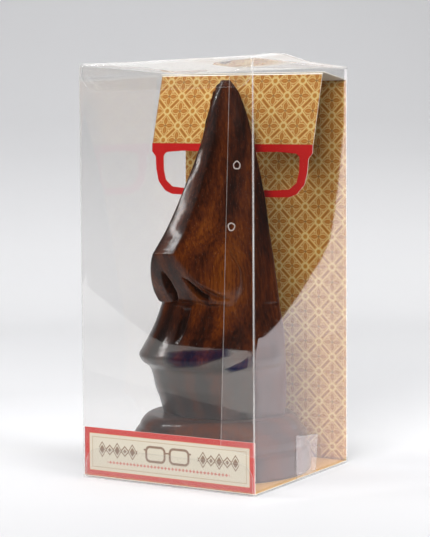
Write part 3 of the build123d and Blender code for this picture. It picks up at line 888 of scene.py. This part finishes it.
def dust_flap(side):
    q, w = np.meshgrid(np.linspace(0, 1, 34), np.linspace(0, 1, 64), indexing="ij")
    u = 29.9 * q
    lo_y = -39.9 + 9.0 * (u / 26.0) + 5.0 * smoothstep(24.5, 29.9, u)
    hi_y = 41.7 - 20.7 * (u / 26.0) - 4.5 * smoothstep(25.0, 29.9, u)
    y = lo_y + (hi_y - lo_y) * w
    # the free edge hangs a little where nothing holds it up
    hang = (2.3 if side < 0 else 1.0) * smoothstep(0, 30, u) * np.sin(np.pi * np.clip((y + 41) / (17.0 + 41), 0, 1)) ** 0.9
    z = 177.33 - hang
    grid = np.stack([side * (H - 0.05 - u), y, z], -1)
    if side < 0:
        grid = grid[::-1]
    return film_sheet("dust_flap_left_sheet" if side < 0 else "dust_flap_right_sheet", grid, (0, 0, -1), T - 0.03,
                      ["dust_flap_left" if side < 0 else "dust_flap_right"], "left_dust_flap" if side < 0 else "right_dust_flap",
                      mat=M_FLAP, crease_rows=(32,) if side < 0 else (0,))


dust_flap(-1)
dust_flap(1)

# bottom closure
bx, by = np.meshgrid(np.linspace(-42.7, 42.7, 40), np.linspace(-42.7, 42.7, 40))
film_sheet("bottom_sheet", np.stack([bx, by, np.full_like(bx, 0.29)], -1), (0, 0, -1), T - 0.01, ["bottom_panel"], "carton", crease_rows=(0, 38), crease_cols=(0, 38))
tv, th = np.meshgrid(np.linspace(0.4, 13.0, 20), np.linspace(-1, 1, 50), indexing="ij")
half = np.where(tv < 6, 41.4, 35.5 + 5.9 * np.sqrt(np.clip(1 - ((tv - 6) / 7.0) ** 2, 0, 1)))
film_sheet("bottom_tuck_sheet", np.stack([th * half, np.full_like(th, -IN + 0.36), tv], -1), (0, 1, 0), T - 0.03, ["bottom_tuck_flap"], "carton", mat=M_FLAP)
for side, nm in ((-1, "left"), (1, "right")):
    q, w = np.meshgrid(np.linspace(0, 1, 20), np.linspace(0, 1, 50), indexing="ij")
    u = 0.08 + 25.9 * q
    lim = 37.9 - 8.0 * (u / 26.0) - 1.6 * smoothstep(22, 26, u)
    grid = np.stack([side * (IN - u), lim * (2 * w - 1), np.full_like(u, 0.57)], -1)
    film_sheet("bottom_dust_%s_sheet" % nm, grid if side > 0 else grid[::-1], (0, 0, -1), T - 0.04, ["bottom_dust_flap_" + nm], "carton", mat=M_FLAP)

# seal over the bottom edge: puckered clear tape
ta, tb = np.meshgrid(np.linspace(0, 1, 60), np.linspace(0, 1, 60))
rag = 0.18 * noise2(ta, np.zeros_like(ta) + 0.5, 11, 14)
ty = -7.25 + (17.8 + 2.0 * tb) * ta + 0.12 * noise2(tb, np.zeros_like(tb) + 0.3, 12, 12) * (ta > 0.98)
tz = 0.02 + (19.7 - 2.0 * ta + rag - 0.02) * tb
puck = 0.035 + 0.03 * (0.5 + 0.5 * noise2(ta, tb, 13, 16)) + 0.01 * noise2(ta, tb, 14, 40)
tx = H + np.clip(puck, 0.02, 0.075)
film_sheet("tape_seal_strip", np.stack([tx, ty, tz], -1), (-1, 0, 0), 0.018, ["tape_seal"], "carton", mat=M_TAPE, crease_rows=(0, 58), crease_cols=(0, 58))


# ------------------------------------------------------------------ printed card
def slipped(v):
    v = np.asarray(v, float).copy()
    x, z = v[..., 0].copy(), v[..., 2] - FOLD_Z
    v[..., 0] = x * math.cos(TILT) + z * math.sin(TILT)
    v[..., 2] = -x * math.sin(TILT) + z * math.cos(TILT) + FOLD_Z
    return v


def card_sheet(name, grid, normal, thick, uv, front, back, stands, body, moved=False, white_rows=()):
    V, F = sheet_solid(grid, normal, thick)
    if moved:
        V = slipped(V)
    n = (grid.shape[0] - 1) * (grid.shape[1] - 1)
    per = [2 if i in white_rows else 0 for i in range(grid.shape[0] - 1) for _ in range(grid.shape[1] - 1)]
    M = per + [1] * n + [2] * (len(F) - 2 * n)
    U = np.concatenate([uv.reshape(-1, 2), uv.reshape(-1, 2)])
    return new_mesh(name, V, F, front, body, stands, uv=U, mats=[front, back, M_EDGE], face_mats=M)


CX = IN - 0.25
back_y, label_y = IN - 0.05, -IN + 0.75
rise = CX * math.tan(TILT)

# back panel, facing -Y
px, pz = np.meshgrid(np.linspace(-CX, CX, 40), np.linspace(0, 1, 70))
topz = 172.75 - px / CX * rise
pz = 1.02 + (topz - 1.02) * pz
lean_y = back_y - CT + 0.02
card_sheet("card_back_sheet", np.stack([px, np.full_like(px, lean_y), pz], -1), (0, 1, 0), CT - 0.03,
           np.stack([px - 8.0, pz - 115.5], -1), M_CARD, M_BACKING, ["card_back_panel"], "carton")

# floor
px, py = np.meshgrid(np.linspace(-CX, CX, 40), np.linspace(label_y + 0.02, back_y - 0.02, 40))
card_sheet("card_floor_sheet", np.stack([px, py, np.full_like(px, 0.99)], -1), (0, 0, -1), CT - 0.02,
           np.stack([px, py], -1), M_TAN, M_BACKING, ["card_floor_panel"], "carton")

# label panel
px, pz = np.meshgrid(np.linspace(-CX, CX, 60), np.linspace(1.0, 21.98, 30))
M_LABEL = label_material("label_print", 2 * CX, 21.0)
card_sheet("card_label_sheet", np.stack([px, np.full_like(px, label_y + 0.01), pz], -1), (0, 1, 0), CT - 0.03,
           np.stack([px + CX, pz - 1.0], -1), M_LABEL, M_BACKING, ["card_label_panel"], "carton")

# shelf
px, pt = np.meshgrid(np.linspace(-CX + 0.12, CX - 0.12, 40), np.linspace(0, 1, 24))
py = FOLD_Y + (back_y - 0.02 - FOLD_Y) * pt
pz = FOLD_Z + CT + (172.77 - FOLD_Z) * pt
card_sheet("card_shelf_sheet", np.stack([px, py, pz], -1), (0, 0, -1), CT - 0.02, np.stack([px - 8.0, py], -1), M_CARD, M_BACKING,
           ["card_shelf_panel"], "carton", moved=True)

# glasses panel, with the bridge's arch cut in its lower edge
flap_y = FOLD_Y - 0.3
slope = math.atan2(flap_y - HANG_Y, FOLD_Z - BEND_Z)
xs = np.unique(np.concatenate([np.linspace(-41.3, -8.8, 26), 8.8 * np.cos(np.linspace(math.pi, 0, 33)), np.linspace(8.8, 41.3, 26)]))
px, pt = np.meshgrid(xs, np.append(np.linspace(0, 0.985, 30), 1.0))
lowz = BEND_Z + 4.5 * np.sqrt(np.clip(1 - (px / 8.8) ** 2, 0, 1))
pz = lowz + (FOLD_Z - 0.3 - lowz) * pt
py = flap_y + (pz - FOLD_Z) * math.tan(slope)
uvx, uvz = px - 25.4, (pz - 165.15) / math.cos(slope)
card_sheet("card_glasses_sheet", np.stack([px, py, pz], -1), (0, 1, 0), CT - 0.02,
           np.stack([uvx, uvz], -1), M_CARD, M_BACKING, ["card_glasses_panel"], "glasses_flap", moved=True, white_rows=(29,))

FRAME_OUT = [(8.8, 143.9), (41.3, 143.9), (41.3, 140.2), (39.3, 137.8), (38.9, 132.0), (37.6, 126.6), (34.0, 122.4), (30.2, 120.9),
             (17.0, 120.6), (12.6, 122.0), (10.8, 126.0), (10.2, 135.0)]
FRAME_IN = [(13.3, 140.4), (24.5, 140.6), (33.5, 139.9), (35.0, 138.4), (34.8, 132.0), (33.6, 127.2), (30.0, 124.3), (22.6, 123.7),
            (16.6, 123.8), (14.2, 126.4), (13.5, 132.0)]


def radial(poly, centre, angles):
    """distance from centre to a closed polygon along each angle"""
    p = np.asarray(poly, float) - centre
    q = np.roll(p, -1, 0)
    out = []
    for a in angles:
        d = np.array([math.cos(a), math.sin(a)])
        e = q - p
        den = d[0] * e[:, 1] - d[1] * e[:, 0]
        with np.errstate(divide="ignore", invalid="ignore"):
            t = (p[:, 0] * e[:, 1] - p[:, 1] * e[:, 0]) / den
            s = (p[:, 0] * d[1] - p[:, 1] * d[0]) / den
        ok = (t > 0) & (s >= -1e-9) & (s <= 1 + 1e-9) & np.isfinite(t)
        out.append(t[ok].max())
    return np.array(out)


def eyeglass(name, side, stands):
    c = np.array([24.2, 132.6])
    n = 288
    ang = np.linspace(0, 2 * np.pi, n, endpoint=False)
    corners = [math.atan2(z - c[1], x - c[0]) % (2 * math.pi) for x, z in FRAME_OUT[:3]]
    for ca in corners:   # keep the sharp corners of the hinge ends
        ang[np.argmin(np.abs(ang - ca))] = ca
    ro, ri = radial(FRAME_OUT, c, ang), radial(FRAME_IN, c, ang)
    for _ in range(5):   # the hole is cut with a rounded die
        ri = ri * 0.5 + np.roll(ri, 1) * 0.25 + np.roll(ri, -1) * 0.25
    soft = ro.copy()
    for _ in range(4):
        soft = soft * 0.5 + np.roll(soft, 1) * 0.25 + np.roll(soft, -1) * 0.25
    up = np.sin(ang) > 0.25
    ro = np.where(up, ro, soft)
    ro = np.minimum(ro, radial(FRAME_OUT, c, ang) + 0.12)
    rings = []
    for t in (0.0, 0.5, 1.0):
        rr = ri + (ro - ri) * t
        rings.append(np.stack([side * (c[0] + rr * np.cos(ang)), c[1] + rr * np.sin(ang)], -1))
    grid = np.array(rings)                       # 3 x n
    y0, y1 = HANG_Y - CT + 0.01, HANG_Y - 0.01
    V = []
    for y in (y0, y1):
        for ring in grid:
            V += [(p[0], y, p[1]) for p in ring]
    flip = side > 0
    F = grid_faces(3, n, wrap=True, flip=not flip) + grid_faces(3, n, wrap=True, offset=3 * n, flip=flip)
    M = [0] * (2 * n) + [1] * (2 * n)
    for j in range(n):
        k2 = (j + 1) % n
        a = [(j, k2, 3 * n + k2, 3 * n + j), (2 * n + k2, 2 * n + j, 5 * n + j, 5 * n + k2)]
        for q in a:
            F.append(q if flip else q[::-1]); M.append(2)
    V = slipped(np.array(V))
    return new_mesh(name, V, F, M_RED, "glasses_flap", [stands], mats=[M_RED, M_BACKING, M_EDGE], face_mats=M, smooth=False)


eyeglass("card_left_eyeglass_cut", -1, "card_left_eyeglass")
eyeglass("card_right_eyeglass_cut", 1, "card_right_eyeglass")


# ------------------------------------------------------------------ stage, lights and camera
def stage_mesh(name, verts_mm, faces, mat, camera=True):
    o = new_mesh(name, verts_mm, faces, mat, None, None)
    o.visible_camera = camera
    return o


def paper_material(name):
    k = Nodes(name)
    p = k.obj()
    fibre = k.noise(p, 260.0, 4.0, 0.6)
    sep = k.n("SeparateXYZ")
    k.link(p, sep.inputs[0])
    # painted shade: the paper darkens higher up the cove and back
    high = k.ramp(k.math("MULTIPLY", sep.outputs[2], 2.0), [(0.0, (1, 1, 1)), (0.3, (0.8, 0.8, 0.8)), (0.6, (0.74, 0.74, 0.74)), (1.0, (0.68, 0.68, 0.68))])
    mul = k.n("Mix", data_type="RGBA", blend_type="MULTIPLY")
    mul.inputs[0].default_value = 1.0
    k.put(mul.inputs[6], k.mix(k.math("MULTIPLY", fibre, 0.06), lin(246, 246, 248), lin(236, 236, 238)))
    k.link(high, mul.inputs[7])
    # painted shade: the paper darkens towards the camera
    away = k.math("ADD", k.math("MULTIPLY", sep.outputs[0], -0.5132), k.math("MULTIPLY", sep.outputs[1], 0.8583))
    mul2 = k.n("Mix", data_type="RGBA", blend_type="MULTIPLY")
    mul2.inputs[0].default_value = 1.0
    k.link(mul.outputs[2], mul2.inputs[6])
    k.link(k.ramp(k.math("ADD", away, 0.2), [(0.0, (0.72, 0.72, 0.72)), (0.09, (0.83, 0.83, 0.83)), (0.2, (0.96, 0.96, 0.96)), (0.35, (1, 1, 1))]), mul2.inputs[7])
    # painted light: the paper glows, more far back and low down
    glow = k.math("MULTIPLY", k.math("MULTIPLY_ADD", away, 1.6, -0.35, clamp=True), k.math("MULTIPLY_ADD", sep.outputs[2], -5.5, 1.0, clamp=True))
    b = k.principled(Base_Color=mul2.outputs[2])
    low = k.math("MULTIPLY_ADD", sep.outputs[2], -5.5, 1.0, clamp=True)
    # painted light: the low paper glows more towards the right
    side_ = k.math("ADD", k.math("MULTIPLY", sep.outputs[0], 0.8583 * 5), k.math("MULTIPLY", sep.outputs[1], 0.5132 * 5), clamp=True)
    # painted light: a glowing pool on the floor left of and behind the holder, lifting its shadow
    bx, by = k.math("ADD", sep.outputs[0], 0.11), k.math("ADD", sep.outputs[1], -0.03)
    far = k.math("SQRT", k.math("ADD", k.math("MULTIPLY", bx, bx), k.math("MULTIPLY", by, by)))
    near_ = k.math("MULTIPLY_ADD", far, -1 / 0.16, 1.0, clamp=True)
    lit = k.math("ADD", k.math("MULTIPLY", glow, 0.13), k.math("MULTIPLY", k.math("MULTIPLY", near_, low), 0.13))
    lit = k.math("ADD", lit, k.math("MULTIPLY", k.math("MULTIPLY", side_, low), 0.05))
    k.put(b.inputs["Emission Strength"], lit)
    b.inputs["Emission Color"].default_value = (1, 1, 1, 1)
    b.inputs["Roughness"].default_value = 0.8
    b.inputs["Specular IOR Level"].default_value = 0.15
    return k.m


M_PAPER = paper_material("paper_sweep")


def flat_material(name, colour, strength=1.0):
    k = Nodes(name)
    e = k.n("Emission")
    e.inputs[0].default_value = (*colour, 1)
    e.inputs[1].default_value = strength
    k.link(e.outputs[0], k.out.inputs[0])
    return k.m


# seamless paper: floor, cove and back, run away from the camera
DX, DY = -0.5132, 0.8583
RX, RY = 0.8583, 0.5132
prof = [(-160.0, 0.0)]
prof += [(s_, 0.0) for s_ in np.linspace(-100, 620, 24)]
prof += [(620 + 420 * math.sin(a), 420 - 420 * math.cos(a)) for a in np.linspace(0, math.pi / 2, 24)[1:]]
prof += [(1040.0, z_) for z_ in np.linspace(460, 1500, 12)]
V, F = [], []
side_cols = np.linspace(-900, 280, 30)
for s_, z_ in prof:
    for t_ in side_cols:
        V.append((DX * s_ + RX * t_, DY * s_ + RY * t_, z_ - 0.05))
F = grid_faces(len(prof), len(side_cols))
stage_mesh("paper_sweep", V, F, M_PAPER)
# painted light: the near part of the sheet, with its uneven front edge, is a glowing sheet brighter than white, hidden
# from the camera and from diffuse light, seen only in reflections
near = [(-823, -1121), (-588, -837), (-424, -642), (-330, -533), (-289, -491), (-252, -481), (-201, -473), (0, -470), (250, -380), (330, -200)]
s0 = -160.0
V, F = [], []
base = [(DX * s0 + RX * t_, DY * s0 + RY * t_) for t_ in np.linspace(-900, 280, len(near))]
for (x0, y0), (x1, y1) in zip(near, base):
    for q in np.linspace(0, 1, 8):
        V.append((x0 + (x1 - x0) * q, y0 + (y1 - y0) * q, -0.05))
F = grid_faces(len(near), 8, flip=True)
M_FRONT = flat_material("paper_front_light", (1.3, 1.3, 1.28), 1.0)
front = stage_mesh("paper_front", V, F, M_FRONT, camera=False)
front.visible_diffuse = False

# painted light: a glowing sheet to the right, brighter than white, standing up, with a curved edge, hidden from the
# camera: the side wall mirrors it
edge = [(549, 219), (544, 187), (531, 147), (524, 121), (517, 97), (510, 76), (497, 61), (482, 49), (465, 35), (447, 23), (436, 16), (418, 8), (396, 6), (330, 4)]
V, F = [], []
for y_, z_ in edge:
    V += [(290.0, y_, z_), (290.0, y_ + 30, -420.0)]
for i in range(len(edge) - 1):
    F.append((2 * i, 2 * i + 1, 2 * i + 3, 2 * i + 2))
V += [(290.0, 900.0, 260.0), (290.0, 900.0, -420.0)]
F.append((0, len(V) - 2, len(V) - 1, 1))
M_SIDE = flat_material("paper_side_light", (1.75, 1.66, 1.74), 1.0)
M_SIDE2 = flat_material("paper_side_foot_light", (1.62, 1.5, 1.56), 1.0)
side = stage_mesh("paper_right", V, F, M_SIDE, camera=False)
side.visible_diffuse = False
side.visible_shadow = False

# painted light: a glowing strip just above the floor, hidden from the camera, that the foot of the side wall mirrors
V = [(47, -60, 0.4), (290, 300, 0.4), (290, 640, 0.4), (47, 240, 0.4)]
side2 = stage_mesh("paper_right_foot", V, [(0, 1, 2, 3)], M_SIDE2, camera=False)
side2.visible_diffuse = False
side2.visible_shadow = False

# painted reflection: two dim bluish glowing patches by the front edge of the sheet, seen only in reflections, put the
# dark blue-violet marks under the lip crest into the front wall
PATCHES = [[(-253, -438), (-248, -454), (-227, -472), (-205, -437), (-201, -414), (-194, -381), (-203, -370), (-222, -390)],
           [(-170, -376), (-178, -407), (-191, -444), (-198, -467), (-175, -427), (-162, -398), (-159, -377), (-159, -365)]]
k = Nodes("painted_reflection_dark")
e = k.n("Emission")
e.inputs[0].default_value = (0.0, 0.09, 0.34, 1)
clear = k.n("BsdfTransparent")
mx = k.n("MixShader")
sep = k.n("SeparateXYZ")
k.link(k.uv(), sep.inputs[0])
k.put(mx.inputs[0], k.step(k.math("MULTIPLY", sep.outputs[0], 100.0), 0.84, 0.26))
k.link(clear.outputs[0], mx.inputs[1])
k.link(e.outputs[0], mx.inputs[2])
k.link(mx.outputs[0], k.out.inputs[0])
M_PAINTED_REFLECTION = k.m
for n_, pts in enumerate(PATCHES):
    c_ = np.mean(np.array(pts, float), 0)
    ring = np.array(pts, float)
    dense = np.concatenate([np.linspace(a_, b_, 6, endpoint=False) for a_, b_ in zip(ring, np.roll(ring, -1, 0))])
    V = [(c_[0], c_[1], 1.0)] + [(x_, y_, 1.0) for x_, y_ in c_ + (dense - c_) * 1.2]
    m_ = len(dense)
    F = [(0, 1 + i_, 1 + (i_ + 1) % m_) for i_ in range(m_)]
    o = new_mesh("painted_reflection_spot_%d" % n_, V, F, M_PAINTED_REFLECTION, None, None, uv=[(0.0, 0.0)] + [(1.0, 0.0)] * m_)
    o.visible_camera = False
    o.visible_diffuse = False
    o.visible_shadow = False


def area(name, loc, target, size, power, colour=(1, 1, 1), size_y=None, spread=math.pi, gloss=True):
    L = bpy.data.lights.new(name, "AREA")
    L.energy = power
    L.color = colour
    L.shape = "RECTANGLE"
    L.size = size
    L.size_y = size_y or size
    L.spread = spread
    o = bpy.data.objects.new(name, L)
    o.location = loc
    d = mathutils.Vector(target) - mathutils.Vector(loc)
    o.rotation_euler = d.to_track_quat("-Z", "Y").to_euler()
    bpy.context.scene.collection.objects.link(o)
    o.visible_glossy = gloss
    return o


glint = area("glint_left", (-0.708, -0.17, 0.79), (0, 0, 0.1), 0.10, 2.7, size_y=0.42)
glint.visible_diffuse = False
area("softbox_left", (-0.75, -0.36, 0.66), (0, 0, 0.09), 0.55, 4.6, gloss=False)
area("softbox_top", (0.42, 0.25, 1.25), (0.05, 0.1, 0), 0.9, 8.0, gloss=False)
area("softbox_right", (0.95, -0.10, 0.55), (0, 0, 0.09), 0.5, 6.0, gloss=False)
area("softbox_front", (0.30, -1.15, 0.50), (0, 0, 0.10), 0.6, 12.2, gloss=False)

scene = bpy.context.scene
world = bpy.data.worlds.new("room")
world.use_nodes = True
bg = world.node_tree.nodes["Background"]
bg.inputs[0].default_value = (0.9, 0.95, 1.0, 1)
bg.inputs[1].default_value = 0.03
scene.world = world

cam_data = bpy.data.cameras.new("camera")
cam_data.lens = 103.53
cam_data.sensor_width = 36.0
cam_data.clip_start, cam_data.clip_end = 0.02, 20.0
cam = bpy.data.objects.new("camera", cam_data)
X_, Y_, Z_ = (0.85768061, 0.51414749, -0.00602725), (-0.0283769, 0.05903484, 0.99785251), (0.51339918, -0.85566772, 0.06522295)
cam.matrix_world = mathutils.Matrix(((X_[0], Y_[0], Z_[0], 0.34735787), (X_[1], Y_[1], Z_[1], -0.58074952), (X_[2], Y_[2], Z_[2], 0.13342518), (0, 0, 0, 1)))
scene.collection.objects.link(cam)
scene.camera = cam
scene.view_settings.view_transform = "Standard"
scene.view_settings.look = "None"
scene.view_settings.exposure = 0.0
scene.cycles.transparent_max_bounces = 40
scene.cycles.max_bounces = 10
scene.cycles.glossy_bounces = 5
scene.cycles.diffuse_bounces = 3
scene.cycles.sample_clamp_indirect = 6.0

bpy.context.view_layer.update()
# thin clear film throws no shadow worth the name
for o in bpy.data.objects:
    if o.type == "MESH" and o.name in ("carton_sleeve", "carton_seam_flap_sheet", "lid_sheet", "lid_tuck_sheet", "dust_flap_left_sheet",
                                       "dust_flap_right_sheet", "tape_seal_strip"):
        o.visible_shadow = False
